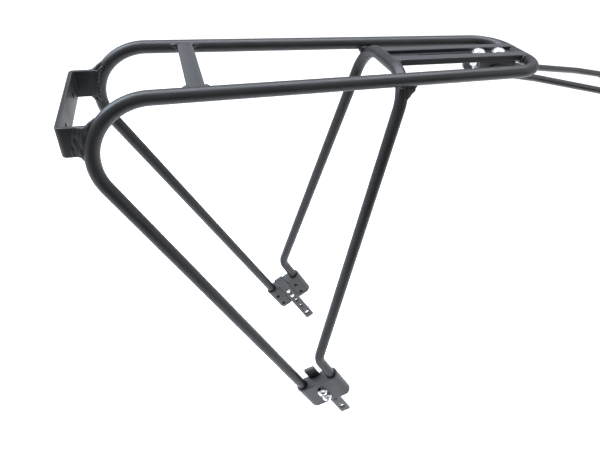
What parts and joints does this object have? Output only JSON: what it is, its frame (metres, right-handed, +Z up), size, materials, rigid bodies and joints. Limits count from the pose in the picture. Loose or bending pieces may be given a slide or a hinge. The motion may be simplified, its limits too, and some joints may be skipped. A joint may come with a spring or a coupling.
{
  "type": "bicycle rear rack",
  "caption": "Black bent-tube bicycle rear luggage rack with sliding dropout tongues, seat stays on a sliding bracket and a rear light bracket.",
  "frame": {"origin": "midway between the holes of the two dropout tongues, where the rack is bolted to the bicycle frame", "axes": "+X to the front of the bicycle, +Y to its left, +Z up"},
  "size_m": [0.5351, 0.1762, 0.4154],
  "materials": {
    "tube_coat": "satin",
    "plate_coat": "satin",
    "casting_coat": "matte",
    "steel_coat": "satin",
    "bright_steel": "satin"
  },
  "bodies": {
    "frame": {"main_loop_tube": "tube_coat", "front_leg_hoop": "tube_coat", "rear_cross_plate": "plate_coat", "deck_rail": "plate_coat", "rear_light_bracket": "plate_coat", "foot_block_left": "casting_coat", "foot_block_right": "casting_coat"},
    "dropout_left": {"dropout_tongue_left": "steel_coat", "foot_screw_upper_left": "bright_steel", "foot_washer_upper_left": "bright_steel", "foot_screw_lower_left": "bright_steel", "foot_washer_lower_left": "bright_steel"},
    "dropout_right": {"dropout_tongue_right": "steel_coat", "foot_screw_upper_right": "bright_steel", "foot_washer_upper_right": "bright_steel", "foot_screw_lower_right": "bright_steel", "foot_washer_lower_right": "bright_steel"},
    "stay_carriage": {"stay_bracket": "steel_coat", "stay_bolt_rear": "bright_steel", "stay_bolt_washer_rear": "bright_steel", "stay_bolt_nut_rear": "bright_steel", "stay_bolt_front": "bright_steel", "stay_bolt_washer_front": "bright_steel", "stay_bolt_nut_front": "bright_steel", "stay_pivot_screw_left": "steel_coat", "stay_pivot_nut_left": "steel_coat", "stay_pivot_screw_right": "steel_coat", "stay_pivot_nut_right": "steel_coat"},
    "stay_left": {"seat_stay_left": "tube_coat"},
    "stay_right": {"seat_stay_right": "tube_coat"}
  },
  "joints": [
    {"name": "dropout_left_slide", "type": "slide", "parent": "frame", "child": "dropout_left", "axis": [0.4877, 0.06, -0.8709], "range_m": [-0.005, 0.0065]},
    {"name": "dropout_right_slide", "type": "slide", "parent": "frame", "child": "dropout_right", "axis": [0.4877, -0.06, -0.8709], "range_m": [-0.005, 0.0065]},
    {"name": "stay_carriage_slide", "type": "slide", "parent": "frame", "child": "stay_carriage", "axis": [1, 0, 0], "range_m": [-0.05, 0.002]},
    {"name": "stay_left_swivel", "type": "hinge", "parent": "stay_carriage", "child": "stay_left", "pos_m": [0.1109, 0.0119, 0.38682], "axis": [0, 1, 0], "range_deg": [-8, 70]},
    {"name": "stay_right_swivel", "type": "hinge", "parent": "stay_carriage", "child": "stay_right", "pos_m": [0.1109, -0.0119, 0.38682], "axis": [0, 1, 0], "range_deg": [-8, 70]}
  ]
}
